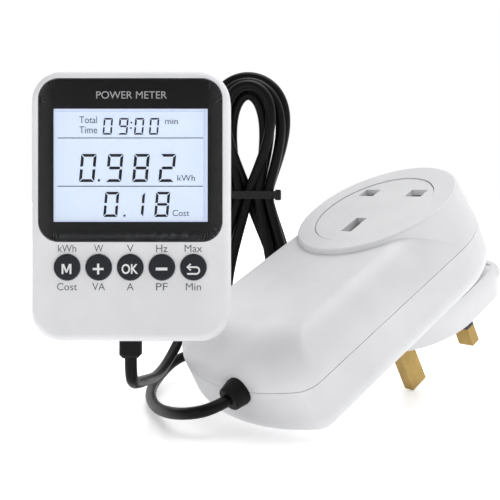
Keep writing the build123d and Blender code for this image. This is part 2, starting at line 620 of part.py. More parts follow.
with BuildPart(CASE) as display_board:
    with BuildSketch(CASE.offset(BOARD_FRONT)):
        RectangleRounded(54.6, 75.4, 6.2)
        with Locations(*CASE_SCREWS):
            Circle(2.5, mode=Mode.SUBTRACT)
        with Locations((BOOT_X, -36.5)):
            Rectangle(9.4, 5.0, mode=Mode.SUBTRACT)
    extrude(amount=-BOARD_THICK)
keep(display_board, "display_board")

with BuildPart(CASE) as display_chip:
    with Locations((12.0, -4.0, BOARD_FRONT - BOARD_THICK)):
        Box(9.0, 9.0, 1.2, align=HANGING)
        with Locations(*[(x, y, -0.25) for x in (-4.9, 4.9) for y in (-3.2, -1.6, 0, 1.6, 3.2)]):
            Box(1.0, 0.5, 0.5)
keep(display_chip, "display_chip")

with BuildPart(CASE) as key_switches:
    with Locations(*[(x, y, BOARD_FRONT) for x, y in BUTTONS]):
        Box(5.0, 5.0, 0.8, align=UPRIGHT)
        Cylinder(1.3, 1.5, align=UPRIGHT)
keep(key_switches, "key_switches")

with BuildPart(CASE) as backup_cell:
    with Locations((-15.0, -24.0, BOARD_FRONT - BOARD_THICK - 0.4)):
        Cylinder(8.0, 3.2, align=HANGING)
    fillet(backup_cell.faces().sort_by(CASE_OUT)[0].edges(), 0.5)
keep(backup_cell, "backup_cell")

with BuildPart(CASE) as cell_clip:
    with Locations((-15.0, -24.0, BOARD_FRONT - BOARD_THICK)):
        Box(6.0, 20.0, 0.4, align=HANGING)
    with Locations((-15.0, -14.6, BOARD_FRONT - BOARD_THICK), (-15.0, -33.4, BOARD_FRONT - BOARD_THICK)):
        Box(6.0, 1.2, 3.2, align=HANGING)
keep(cell_clip, "cell_clip")

with BuildPart(CASE) as cord_header:
    with Locations((9.0, -31.5, BOARD_FRONT - BOARD_THICK)):
        Box(9.0, 5.0, 3.6, align=HANGING)
    with Locations((9.0, -33.0, BOARD_FRONT - BOARD_THICK - 0.7)):
        Box(7.6, 4.0, 2.2, align=HANGING, mode=Mode.SUBTRACT)
keep(cord_header, "cord_header")

CASE_SCREW_SET = [screw(CASE, (x, y, -CASE_DEPTH + 3.0), (0.8, 10.0), 1.9, 1.3)
                  for x, y in CASE_SCREWS]
with BuildPart() as case_screws:
    add(CASE_SCREW_SET)
keep(case_screws, "case_screws")

BUTTON_FLANGE = LCD_FRONT


def make_button(name, place):
    """A round key cap with a dished face, a flange behind the case wall and a stem to its switch."""
    x, y = place
    with BuildPart(CASE) as button:
        with Locations((x, y, BUTTON_FLANGE)):
            Cylinder(BUTTON_RADIUS, BUTTON_PROUD - BUTTON_FLANGE, align=UPRIGHT)
        rim = button.faces().sort_by(CASE_OUT)[-1].edges()
        fillet(rim, 0.5)
        with Locations((x, y, BUTTON_FLANGE)):
            Cylinder(BUTTON_RADIUS + 0.6, 0.7, align=HANGING)
            Cylinder(1.5, 2.2, align=HANGING)
    keep(button, name)


for button_name, button_place in zip(BUTTON_NAMES, BUTTONS):
    make_button(f"button_{button_name}", button_place)

with BuildPart(CASE) as tilt_stand:
    with Locations((0, STAND_HINGE_Y - STAND_REACH + 1.2, -CASE_DEPTH + 0.2)):
        Box(STAND_WIDTH, STAND_REACH - 1.2, 2.6, align=(Align.CENTER, Align.MIN, Align.MIN))
    fillet(tilt_stand.edges().filter_by(CASE_OUT).sort_by(Axis(CASE_ORIGIN, CASE.y_dir))[:2], 4.0)
    with Locations((0, STAND_HINGE_Y - 22.0, -CASE_DEPTH)):
        Box(STAND_WIDTH - 9.0, 20.0, 8.0, mode=Mode.SUBTRACT)
    with Locations((0, STAND_HINGE_Y, STAND_HINGE_Z)):
        Cylinder(1.75, STAND_WIDTH, rotation=(0, 90, 0))
        Cylinder(STAND_PIN_RADIUS + 0.05, STAND_WIDTH + 1, rotation=(0, 90, 0), mode=Mode.SUBTRACT)
keep(tilt_stand, "tilt_stand")

with BuildPart(CASE) as stand_pin:
    with Locations((0, STAND_HINGE_Y, STAND_HINGE_Z)):
        Cylinder(STAND_PIN_RADIUS, STAND_WIDTH + 3.0, rotation=(0, 90, 0))
keep(stand_pin, "stand_pin")

BOOT_LENGTH = 5.7
with BuildPart(BOOT) as display_boot:
    with Locations((0, 0, -CASE_WALL - 1.4)):
        Cylinder(4.0, 1.3, align=UPRIGHT)
        Cylinder(BOOT_NECK, CASE_WALL + 1.5, align=UPRIGHT)
    with BuildSketch(BOOT.offset(0.1)):
        RectangleRounded(6.6, 6.6, 1.6)
    extrude(amount=BOOT_LENGTH - 0.1)
    chamfer(display_boot.faces().sort_by(Axis(BOOT.origin, BOOT.z_dir))[-1].edges(), 1.0)
    with Locations((0, 0, -4)):
        Cylinder(CORD_RADIUS, 20, align=UPRIGHT, mode=Mode.SUBTRACT)
keep(display_boot, "display_boot")


# ---------------------------------------------------------------- cord
# One 3.8 mm cord: out of the display's boot, loosely back to the hank, and from the hank round in
# front to the plug unit's gland. Each route is the corners that its arcs round off.
boot_mouth = BOOT.from_local_coords(Vector(0, 0, BOOT_LENGTH))
gland_mouth = GLAND.from_local_coords(Vector(0, 0, GLAND_LENGTH))

DISPLAY_ROUTE = [
    tuple(boot_mouth),
    (-49.3, -36.6, 18.0),
    (-49.1, -32.8, 14.3),
    (-48.5, -22.8, 12.4),
    (-47.8, -8.8, 10.2),
    (-46.6, 7.2, 7.6),
    (-44.4, 20.2, 8.6),
    (-41.5, 31.2, 13.4),
    (-37.8, 38.7, 21.0),
    (-32.2, 42.7, 30.5),
]
PLUG_ROUTE = [
    tuple(gland_mouth),
    (-24.2, -44.1, 8.8),
    (-30.7, -43.3, 7.2),
    (-37.5, -33.8, 5.0),
    (-43.2, -18.8, 2.9),
    (-47.2, -1.3, 1.95),
    (-48.8, 15.7, 1.95),
    (-46.8, 29.2, 4.1),
    (-42.2, 38.0, 7.8),
    (-35.2, 41.0, 10.4),
    (-27.2, 39.2, 9.0),
]


def make_cord_run(name, route):
    """A tube along straight runs joined by arcs, each as large as its two runs allow."""
    corners = [Vector(*point) for point in route]
    radii = []
    for before, corner, after in zip(corners, corners[1:], corners[2:]):
        turn = (corner - before).get_angle(after - corner)
        run = min((corner - before).length, (after - corner).length)
        radii.append(0.45 * run / tan(radians(turn / 2)))
    with BuildPart() as tube:
        with BuildLine() as centre:
            FilletPolyline(*corners, radius=radii)
        with BuildSketch(Plane(origin=corners[0], z_dir=corners[1] - corners[0])):
            Circle(CORD_RADIUS)
        sweep(path=centre.wire())
    length = centre.wire().length
    print(name, "length", round(length, 1), "radii", [round(r, 1) for r in radii],
          "volume ratio", round(tube.part.volume / (pi * CORD_RADIUS**2 * length), 4))
    keep(tube, name)


make_cord_run("cord_display_run", DISPLAY_ROUTE)
make_cord_run("cord_plug_run", PLUG_ROUTE)

# The hank stands on its lower loops behind the housings, nipped in by a tie.
HANK_X = -13.5
HANK_Y = 39.5
HANK_HALF_DEPTH = 7.3
TIE_Z = 72.0
TIE_BUNDLE = (20.0, 8.6)
HANK_FRONT = Plane(origin=(HANK_X, HANK_Y, 0), x_dir=(1, 0, 0), z_dir=(0, -1, 0))
HANK_SIDE = Plane(origin=(HANK_X, HANK_Y, 0), x_dir=(0, 1, 0), z_dir=(1, 0, 0))

with BuildPart() as cord_hank:
    with BuildSketch(HANK_FRONT):
        with BuildLine():
            Spline((0, 119.4), (16.2, 103.0), (TIE_BUNDLE[0] / 2, TIE_Z), (19.0, 30.0), (0, 0.05),
                   tangents=((1, 0), (-1, 0)))
            Spline((0, 0.05), (-19.0, 30.0), (-TIE_BUNDLE[0] / 2, TIE_Z), (-16.2, 103.0), (0, 119.4),
                   tangents=((-1, 0), (1, 0)))
        make_face()
        with BuildLine():
            Spline((-0.4, 83.5), (3.6, 101.0), (-0.4, 108.4), (-4.4, 101.0), (-0.4, 83.5),
                   tangents=((0.3, 1), (0.3, -1)))
        make_face(mode=Mode.SUBTRACT)
        with BuildLine():
            Spline((2.0, 50.7), (-6.0, 20.0), (0.5, 12.5), (7.0, 20.0), (2.0, 50.7),
                   tangents=((-0.3, -1), (-0.3, 1)))
        make_face(mode=Mode.SUBTRACT)
    extrude(amount=HANK_HALF_DEPTH, both=True)
    with BuildSketch(HANK_SIDE):
        with BuildLine():
            Spline((-HANK_HALF_DEPTH, 95), (-TIE_BUNDLE[1] / 2, TIE_Z), (-HANK_HALF_DEPTH, 50),
                   tangents=((0, -1), (0, -1)))
            Polyline((-HANK_HALF_DEPTH, 50), (-HANK_HALF_DEPTH, 0), (HANK_HALF_DEPTH, 0),
                     (HANK_HALF_DEPTH, 50))
            Spline((HANK_HALF_DEPTH, 50), (TIE_BUNDLE[1] / 2, TIE_Z), (HANK_HALF_DEPTH, 95),
                   tangents=((0, 1), (0, 1)))
            Polyline((HANK_HALF_DEPTH, 95), (HANK_HALF_DEPTH, 122), (-HANK_HALF_DEPTH, 122),
                     (-HANK_HALF_DEPTH, 95))
        make_face()
    extrude(amount=25, both=True, mode=Mode.INTERSECT)
keep(cord_hank, "cord_hank")

TIE_STRAP = (1.0, 3.0)
with BuildPart() as hank_tie:
    with BuildSketch(Plane.XY.offset(TIE_Z - TIE_STRAP[1] / 2)):
        with Locations((HANK_X, HANK_Y)):
            RectangleRounded(TIE_BUNDLE[0] + 0.5 + 2 * TIE_STRAP[0],
                             TIE_BUNDLE[1] + 0.5 + 2 * TIE_STRAP[0], 3.4)
            RectangleRounded(TIE_BUNDLE[0] + 0.5, TIE_BUNDLE[1] + 0.5, 2.4, mode=Mode.SUBTRACT)
    extrude(amount=TIE_STRAP[1])
    with Locations((HANK_X + TIE_BUNDLE[0] / 2 + 1.45, HANK_Y - 2.0, TIE_Z)):
        Box(2.2, 3.4, 4.0)
    fillet(hank_tie.faces().sort_by(Axis.X)[-1].edges(), 0.6)
keep(hank_tie, "hank_tie")


# ---------------------------------------------------------------- report the whole size
CORD_NODES = {"cord_display_run", "cord_plug_run", "cord_hank", "hank_tie"}
housings = Compound(children=[p for p in PARTS if p.label not in CORD_NODES]).bounding_box()
print("housings", housings.min, housings.max, "centre", housings.center())
for lowest in (plug_lower_shell, plug_base):
    print(lowest.part.label, "lowest point", round(lowest.part.bounding_box().min.Z, 3))
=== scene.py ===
"""Looks of the plug-through energy meter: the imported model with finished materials, the printed and
displayed characters, the one real cord with its tied hank, and a plain studio round them."""

import json
import math

import bmesh
import bpy
from mathutils import Matrix, Vector


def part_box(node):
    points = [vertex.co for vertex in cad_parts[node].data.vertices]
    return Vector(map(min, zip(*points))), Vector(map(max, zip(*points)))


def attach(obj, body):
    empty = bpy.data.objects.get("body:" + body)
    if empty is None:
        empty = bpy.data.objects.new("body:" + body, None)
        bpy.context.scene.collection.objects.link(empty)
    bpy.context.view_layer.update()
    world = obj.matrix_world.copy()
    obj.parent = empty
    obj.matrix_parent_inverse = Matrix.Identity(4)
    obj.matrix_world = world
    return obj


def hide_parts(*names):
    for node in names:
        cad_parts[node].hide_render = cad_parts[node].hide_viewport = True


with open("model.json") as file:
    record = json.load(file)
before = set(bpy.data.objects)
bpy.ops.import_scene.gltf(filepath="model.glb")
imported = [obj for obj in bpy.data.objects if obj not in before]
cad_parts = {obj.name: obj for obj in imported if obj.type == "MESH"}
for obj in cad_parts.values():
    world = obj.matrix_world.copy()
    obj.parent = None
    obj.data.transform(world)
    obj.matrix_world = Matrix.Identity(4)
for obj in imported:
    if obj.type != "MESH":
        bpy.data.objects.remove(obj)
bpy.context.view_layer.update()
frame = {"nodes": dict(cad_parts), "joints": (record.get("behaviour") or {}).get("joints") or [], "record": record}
NODES = frame["nodes"]
RECORD = frame["record"]
JOINTS = {joint["name"]: joint for joint in frame["joints"]}
MM = 0.001


# ---------------------------------------------------------------- the two units' own directions
def reach(node, direction):
    """The lowest and highest distance of a node's points along a direction."""
    along = [vertex.co.dot(direction) for vertex in NODES[node].data.vertices]
    return min(along), max(along)


DISPLAY_OUT = -Vector(JOINTS["button_ok_press"]["axis"]).normalized()
DISPLAY_RIGHT = Vector((1, 0, 0))
DISPLAY_UP = DISPLAY_OUT.cross(DISPLAY_RIGHT)
DISPLAY_CENTRE = (DISPLAY_RIGHT * sum(reach("display_front_case", DISPLAY_RIGHT)) / 2
                  + DISPLAY_UP * sum(reach("display_front_case", DISPLAY_UP)) / 2
                  + DISPLAY_OUT * reach("display_front_case", DISPLAY_OUT)[1])
DISPLAY = Matrix.Translation(DISPLAY_CENTRE) @ Matrix(
    (DISPLAY_RIGHT, DISPLAY_UP, DISPLAY_OUT)).transposed().to_4x4() @ Matrix.Scale(MM, 4)


# ---------------------------------------------------------------- materials
def surface(name):
    """A new material with its shader, and a function that adds a node and sets its values."""
    material = bpy.data.materials.new(name)
    material.use_nodes = True
    nodes = material.node_tree.nodes
    shader = nodes["Principled BSDF"]

    def add(kind, links=(), **values):
        node = nodes.new(kind)
        for key, value in values.items():
            if hasattr(node, key):
                setattr(node, key, value)
            else:
                node.inputs[key.replace("_", " ").title()].default_value = value
        for source, target in links:
            material.node_tree.links.new(source, node.inputs[target])
        return node

    return material, shader, add


def link(material, source, target):
    material.node_tree.links.new(source, target)


def noise(add, scale, detail=2.0, stretch=None):
    """Noise in the object's own coordinates, in cells per metre, stretched if asked."""
    place = add("ShaderNodeTexCoord").outputs["Object"]
    if stretch:
        place = add("ShaderNodeMapping", [(place, "Vector")], Scale=stretch).outputs["Vector"]
    return add("ShaderNodeTexNoise", [(place, "Vector")], Scale=scale, Detail=detail).outputs["Fac"]


def blend_colours(material, add, shader, factor, first, second, low=0.35, high=0.65):
    """The shader's colour goes from the first to the second as the factor goes from low to high."""
    ramp = add("ShaderNodeValToRGB", [(factor, "Fac")])
    ramp.color_ramp.elements[0].position = low
    ramp.color_ramp.elements[0].color = (*first, 1)
    ramp.color_ramp.elements[1].position = high
    ramp.color_ramp.elements[1].color = (*second, 1)
    link(material, ramp.outputs["Color"], shader.inputs["Base Color"])
    return ramp


def vary_roughness(material, add, shader, factor, low, high):
    spread = add("ShaderNodeMapRange", [(factor, "Value")])
    spread.inputs["To Min"].default_value = low
    spread.inputs["To Max"].default_value = high
    link(material, spread.outputs["Result"], shader.inputs["Roughness"])


def relief(material, add, shader, height, strength, depth):
    bump = add("ShaderNodeBump", [(height, "Height")], Strength=strength, Distance=depth)
    link(material, bump.outputs["Normal"], shader.inputs["Normal"])


def tint(colour, factor):
    return tuple(min(1.0, channel * factor) for channel in colour)


def moulded(name, colour, roughness, grain=4200.0, strength=0.25, mottle=0.03, depth=0.00006,
            gloss=0.5):
    """Moulded plastic or rubber: a fine spark-eroded grain, slightly uneven colour and roughness, and
    a highlight as strong as the gloss says."""
    material, shader, add = surface(name)
    blend_colours(material, add, shader, noise(add, 55.0, 4.0), tint(colour, 1 - mottle),
                  tint(colour, 1 + mottle))
    vary_roughness(material, add, shader, noise(add, 130.0, 3.0), roughness - 0.06, roughness + 0.06)
    relief(material, add, shader, noise(add, grain, 2.0), strength, depth)
    shader.inputs["Specular IOR Level"].default_value = gloss
    return material


def metal(name, colour, roughness, stretch=(1.0, 1.0, 1.0), scale=900.0, strength=0.25):
    """Worked metal: streaks along the drawing direction and tarnish in patches."""
    material, shader, add = surface(name)
    shader.inputs["Metallic"].default_value = 1.0
    blend_colours(material, add, shader, noise(add, 160.0, 4.0), tint(colour, 0.86), tint(colour, 1.08))
    streaks = noise(add, scale, 3.0, stretch)
    vary_roughness(material, add, shader, streaks, roughness - 0.08, roughness + 0.1)
    relief(material, add, shader, streaks, strength, 0.00002)
    return material


def screen(name, colour, glow):
    """A backlit liquid-crystal panel, a little brighter in patches where its light guide is."""
    material, shader, add = surface(name)
    ramp = blend_colours(material, add, shader, noise(add, 38.0, 1.0), tint(colour, 0.985), colour)
    link(material, ramp.outputs["Color"], shader.inputs["Emission Color"])
    shader.inputs["Emission Strength"].default_value = glow
    shader.inputs["Roughness"].default_value = 0.35
    relief(material, add, shader, noise(add, 5200.0, 1.0), 0.08, 0.00002)
    return material


def clear(name):
    """The polished cover: clear, with the faintest unevenness in its gloss."""
    material, shader, add = surface(name)
    shader.inputs["Base Color"].default_value = (0.97, 0.98, 1.0, 1)
    shader.inputs["Transmission Weight"].default_value = 1.0
    shader.inputs["IOR"].default_value = 1.47
    vary_roughness(material, add, shader, noise(add, 70.0, 2.0), 0.015, 0.045)
    return material


def printed_border_and_painted_reflection(name):
    """Black ink behind the cover, with a painted reflection: the black fades to grey at the left and right, where
    the cover curves.
    """
    material, shader, add = surface(name)
    place = add("ShaderNodeTexCoord").outputs["Object"]
    across = add("ShaderNodeSeparateXYZ", [(place, "Vector")]).outputs["X"]
    low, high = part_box("lens_mask")
    offset = add("ShaderNodeMath", [(across, 0)], operation="SUBTRACT")
    offset.inputs[1].default_value = (low.x + high.x) / 2
    side = add("ShaderNodeMath", [(offset.outputs[0], 0)], operation="ABSOLUTE").outputs[0]
    half = (high.x - low.x) / 2
    # Painted reflection: over the last 4.2 mm at each side the black is lifted to grey, as the curved cover's
    # reflection would be.
    spread = add("ShaderNodeMapRange", [(side, "Value")])
    spread.inputs["From Min"].default_value = half - 4.2 * MM
    spread.inputs["From Max"].default_value = half
    blend_colours(material, add, shader, spread.outputs["Result"], (0.003, 0.0028, 0.0026),
                  (0.08, 0.078, 0.077), 0.0, 1.0)
    vary_roughness(material, add, shader, noise(add, 300.0, 2.0), 0.3, 0.4)
    return material


def circuit(name, colour):
    """Solder mask over copper tracks and lands."""
    material, shader, add = surface(name)
    place = add("ShaderNodeTexCoord").outputs["Object"]
    cells = add("ShaderNodeTexVoronoi", [(place, "Vector")], feature="DISTANCE_TO_EDGE", Scale=420.0)
    blend_colours(material, add, shader, cells.outputs["Distance"], tint(colour, 1.9), colour, 0.04, 0.07)
    relief(material, add, shader, cells.outputs["Distance"], 0.2, 0.00003)
    vary_roughness(material, add, shader, noise(add, 200.0, 2.0), 0.25, 0.4)
    return material


LOOKS = {
    "white_shell": moulded("white_shell", (0.74, 0.74, 0.755), 0.4),
    "socket_plastic": moulded("socket_plastic", (0.74, 0.74, 0.75), 0.38),
    "display_case": moulded("display_case", (0.82, 0.82, 0.84), 0.38),
    "lens": clear("lens"),
    "mask_black": printed_border_and_painted_reflection("mask_black"),
    "lcd": screen("lcd", (0.72, 0.81, 0.945), 0.62),
    "light_guide": moulded("light_guide", (0.8, 0.84, 0.9), 0.25, strength=0.1),
    "button_rubber": moulded("button_rubber", (0.021, 0.023, 0.029), 0.42, 3600.0, 0.35, gloss=0.2),
    "cord_black": moulded("cord_black", (0.0035, 0.0035, 0.004), 0.4, 2600.0, 0.3, 0.2, gloss=0.16),
    "boot_black": moulded("boot_black", (0.007, 0.007, 0.0075), 0.5, 3000.0, 0.45, 0.15, gloss=0.15),
    "tie_black": moulded("tie_black", (0.008, 0.008, 0.009), 0.38, 3000.0, 0.3, 0.1, gloss=0.3),
    "brass": metal("brass", (0.40, 0.275, 0.095), 0.36, (1.0, 1.0, 0.12), 1500.0),
    "contact_bronze": metal("contact_bronze", (0.62, 0.40, 0.24), 0.3),
    "sleeve_black": moulded("sleeve_black", (0.02, 0.02, 0.022), 0.42),
    "steel": metal("steel", (0.55, 0.55, 0.56), 0.33),
    "nickel_can": metal("nickel_can", (0.66, 0.65, 0.61), 0.28),
    "circuit_board": circuit("circuit_board", (0.012, 0.10, 0.04)),
    "chip_black": moulded("chip_black", (0.02, 0.02, 0.021), 0.55),
    "switch_black": moulded("switch_black", (0.035, 0.035, 0.037), 0.5),
    "capacitor_yellow": moulded("capacitor_yellow", (0.70, 0.47, 0.06), 0.3),
    "varistor_blue": moulded("varistor_blue", (0.03, 0.12, 0.42), 0.3),
    "connector_cream": moulded("connector_cream", (0.74, 0.71, 0.60), 0.45),
    "carrier_grey": moulded("carrier_grey", (0.30, 0.30, 0.31), 0.5),
    "strip_pink": moulded("strip_pink", (0.50, 0.26, 0.28), 0.6),
}
GREY_INK = moulded("grey_ink", (0.12, 0.12, 0.13), 0.5, mottle=0.08)
WHITE_INK = moulded("white_ink", (0.82, 0.82, 0.83), 0.45, mottle=0.04)
LCD_INK = moulded("lcd_ink", (0.004, 0.004, 0.006), 0.5, mottle=0.3)
LCD_GREY = moulded("lcd_grey", (0.055, 0.065, 0.085), 0.5, mottle=0.1)
LCD_EDGE = screen("lcd_edge", (0.60, 0.66, 0.86), 0.62)


SHARP_ANGLE = 32.0
SHARP_ANGLE_LENS = 10.0


def dress_frame():
    """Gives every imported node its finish, and smooth shading with sharp corners kept."""
    for row in RECORD["subparts"]:
        mesh = NODES[row["node"]].data
        mesh.materials.clear()
        mesh.materials.append(LOOKS[row["material_slot"]])
        mesh.polygons.foreach_set("use_smooth", [True] * len(mesh.polygons))
        sharp = SHARP_ANGLE_LENS if row["material_slot"] == "lens" else SHARP_ANGLE
        mesh.set_sharp_from_angle(angle=math.radians(sharp))


# ---------------------------------------------------------------- flat shapes in the display's plane
PRINT_THICK = 0.03


def prism(outline, thickness=PRINT_THICK):
    """A closed plate with the given outline, counter-clockwise, in millimetres."""
    shape = bmesh.new()
    face = shape.faces.new([shape.verts.new((x, y, 0)) for x, y in outline])
    raised = bmesh.ops.extrude_face_region(shape, geom=[face])["geom"]
    tops = [item for item in raised if isinstance(item, bmesh.types.BMVert)]
    bmesh.ops.translate(shape, verts=tops, vec=(0, 0, thickness))
    bmesh.ops.recalc_face_normals(shape, faces=shape.faces)
    return finished(shape)


def finished(shape):
    mesh = bpy.data.meshes.new("shape")
    shape.to_mesh(mesh)
    shape.free()
    return mesh


def bar(width, height, thickness=PRINT_THICK):
    x, y = width / 2, height / 2
    return prism([(-x, -y), (x, -y), (x, y), (-x, y)], thickness)


def mesh_of(curve):
    """The mesh of a text or stroke curve, made through an object that is then removed."""
    holder = bpy.data.objects.new("curve", curve)
    bpy.context.scene.collection.objects.link(holder)
    bpy.context.view_layer.update()
    ready = holder.evaluated_get(bpy.context.evaluated_depsgraph_get())
    mesh = bpy.data.meshes.new_from_object(ready)
    bpy.data.objects.remove(holder)
    return mesh


def fitted(mesh, width, height, thickness):
    """The mesh scaled and moved to fill a box of that size, centred, standing on the plane."""
    low = Vector(min(vertex.co[i] for vertex in mesh.vertices) for i in range(3))
    high = Vector(max(vertex.co[i] for vertex in mesh.vertices) for i in range(3))
    middle = Vector(((low.x + high.x) / 2, (low.y + high.y) / 2, low.z))
    size = high - low
    scale = Matrix.Diagonal((width / size.x, height / size.y, thickness / size.z, 1))
    mesh.transform(scale @ Matrix.Translation(-middle))
    return mesh


def words(text, width, height, thickness=PRINT_THICK, weight=0.0):
    """Sans-serif characters that fill a box of that size, made heavier by the weight."""
    curve = bpy.data.curves.new("words", "FONT")
    curve.body = text
    curve.extrude = 0.05
    curve.offset = weight
    curve.resolution_u = 6
    return fitted(mesh_of(curve), width, height, thickness)


def stroke(lines, width, height, pen, thickness=PRINT_THICK):
    """Rounded pen strokes along polylines, as one flattened shape of that size."""
    curve = bpy.data.curves.new("stroke", "CURVE")
    curve.dimensions = "3D"
    for points in lines:
        spline = curve.splines.new("POLY")
        spline.points.add(len(points) - 1)
        for point, (x, y) in zip(spline.points, points):
            point.co = (x, y, 0, 1)
    curve.bevel_depth = pen / 2
    curve.bevel_resolution = 3
    curve.use_fill_caps = True
    return fitted(mesh_of(curve), width, height, thickness)


def piece(name, shapes, level, body, material):
    """One piece made of shapes, each at its own place on the display, at one level on its Z."""
    joined = bmesh.new()
    for mesh, x, y in shapes:
        mesh.transform(DISPLAY @ Matrix.Translation((x, y, level)))
        joined.from_mesh(mesh)
        bpy.data.meshes.remove(mesh)
    made = bpy.data.objects.new(name, finished(joined))
    made.data.name = name
    made.data.materials.append(material)
    bpy.context.scene.collection.objects.link(made)
    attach(made, body)
    return made


# ---------------------------------------------------------------- screen characters
SEGMENTS_ON = {"0": "abcdef", "1": "bc", "2": "abged", "8": "abcdefg", "9": "abcdfg"}


def digit(character, width, height, thick, lean=0.087):
    """One seven-segment character as separate plates, centred, leaning to the right."""
    gap = 0.12 * thick
    middle = height / 2
    inner = width - gap - thick
    across = [(gap, height), (width - gap, height), (inner, height - thick), (gap + thick, height - thick)]
    waist = [(gap + thick / 2, middle), (gap + thick, middle + thick / 2), (inner, middle + thick / 2),
             (width - gap - thick / 2, middle), (inner, middle - thick / 2),
             (gap + thick, middle - thick / 2)]
    upright = [(0, height - 2 * gap), (thick, height - thick - 3 * gap),
               (thick, middle + thick / 2 + gap), (0, middle + 3 * gap)]
    outlines = {
        "a": across,
        "d": [(x, height - y) for x, y in across],
        "g": waist,
        "f": upright,
        "b": [(width - x, y) for x, y in upright],
        "e": [(x, height - y) for x, y in upright],
        "c": [(width - x, height - y) for x, y in upright],
    }
    for segment in SEGMENTS_ON[character]:
        yield prism([(x - width / 2 + lean * (y - middle), y - middle) for x, y in outlines[segment]])


LCD_LEVEL = -1.98
CLOCK = [("0", -6.91), ("9", -2.25), ("0", 2.45), ("0", 6.90)]
ENERGY = [("0", -12.86), ("9", -4.87), ("8", 2.99), ("2", 10.82)]
COST = [("0", -5.87), ("1", 1.85), ("8", 9.32)]


def make_screen():
    """What the screen shows: three readings with their units, two rules and the panel's bright edge."""
    dark = []
    for row, y, width, height, thick in ((CLOCK, 23.9, 2.75, 5.0, 0.52), (ENERGY, 11.48, 4.6, 8.4, 0.86),
                                         (COST, 0.62, 4.2, 7.5, 0.78)):
        for character, x in row:
            dark += [(plate, x, y) for plate in digit(character, width, height, thick)]
    dark += [(bar(0.5, 0.5), 0.12, 25.0), (bar(0.5, 0.5), -0.02, 23.4), (bar(0.7, 0.7), -9.57, 7.8),
             (bar(0.62, 0.62), -1.96, -2.75)]
    piece("screen_digits", dark, LCD_LEVEL, "housings", LCD_INK)
    units = [(words("Total", 5.3, 2.05), -12.74, 25.85), (words("Time", 5.3, 2.1), -12.74, 22.85),
             (words("min", 3.8, 1.65), 12.1, 25.4), (words("kWh", 5.3, 1.8), 16.48, 8.5),
             (words("Cost", 5.0, 1.85), 14.9, -1.95)]
    rules = [(bar(43.4, 0.26), -0.2, y) for y in (20.43, 6.03)]
    piece("screen_units", units + rules, LCD_LEVEL, "housings", LCD_GREY)
    edges = [(bar(0.75, 33.2), 21.9, 12.2), (bar(44.6, 0.45), -0.5, 28.35)]
    piece("screen_edge_lines", edges, LCD_LEVEL, "housings", LCD_EDGE)


# ---------------------------------------------------------------- printed labels and key symbols
KEY_PITCH = 9.36
KEY_Y = -18.1
KEY_TOP = 0.9
INK_SINK = 0.01
SYMBOL_DROP = 0.5
SYMBOL_THICK = 0.05
TITLE_LEVEL = -1.0
LABEL_HEIGHT = 2.15
UPPER_ROW_Y = -12.5
LOWER_ROW_Y = -23.86
UPPER_ROW = (("kWh", 5.4), ("W", 2.7), ("V", 2.05), ("Hz", 3.4), ("Max", 5.2))
LOWER_ROW = (("Cost", 6.0), ("VA", 3.8), ("A", 2.1), ("PF", 3.45), ("Min", 4.5))


def back_arrow():
    """The return symbol: a hook that comes back under itself, with an open arrow head."""
    turn = [(1.0 + 0.95 * math.sin(math.radians(a)), -0.25 + 0.95 * math.cos(math.radians(a)))
            for a in range(0, 181, 15)]
    hook = [(-1.6, 0.7), *turn, (-1.7, -1.2)]
    head = [(-0.6, 1.6), (-1.7, 0.7), (-0.6, -0.2)]
    return stroke([hook, head], 4.1, 3.4, 0.5, SYMBOL_THICK)


def make_prints():
    """Unit names round the keys, a generic title over the screen, and a symbol on each key."""
    labels = []
    for row, y in ((UPPER_ROW, UPPER_ROW_Y), (LOWER_ROW, LOWER_ROW_Y)):
        for index, (text, width) in enumerate(row):
            labels.append((words(text, width, LABEL_HEIGHT), (index - 2) * KEY_PITCH, y))
    piece("face_labels", labels, -INK_SINK, "housings", GREY_INK)
    piece("face_title", [(words("POWER METER", 21.0, 2.2), 0.3, 33.1)], TITLE_LEVEL, "housings",
          WHITE_INK)
    piece("face_mark", [(bar(0.5, 0.22), 0.0, -8.35), (bar(0.5, 0.22), -0.45, -8.75)], TITLE_LEVEL,
          "housings", GREY_INK)
    cross = [(0.33, -1.6), (0.33, -0.33), (1.6, -0.33), (1.6, 0.33), (0.33, 0.33), (0.33, 1.6),
             (-0.33, 1.6), (-0.33, 0.33), (-1.6, 0.33), (-1.6, -0.33), (-0.33, -0.33), (-0.33, -1.6)]
    half_m = [(0.0, -0.35), (0.72, 1.5), (1.45, 1.5), (1.45, -1.5), (0.9, -1.5), (0.9, 0.55), (0.24, -1.1)]
    letter_m = [*half_m, *((-x, y) for x, y in reversed(half_m[1:]))]
    symbols = {
        "mode": prism(letter_m, SYMBOL_THICK),
        "plus": prism(cross, SYMBOL_THICK),
        "ok": words("OK", 4.9, 2.95, SYMBOL_THICK, 0.022),
        "minus": bar(3.4, 0.85, SYMBOL_THICK),
        "back": back_arrow(),
    }
    for index, (key, shape) in enumerate(symbols.items()):
        piece(f"symbol_{key}", [(shape, (index - 2) * KEY_PITCH, KEY_Y - SYMBOL_DROP)],
              KEY_TOP - INK_SINK, f"key_{key}", WHITE_INK)


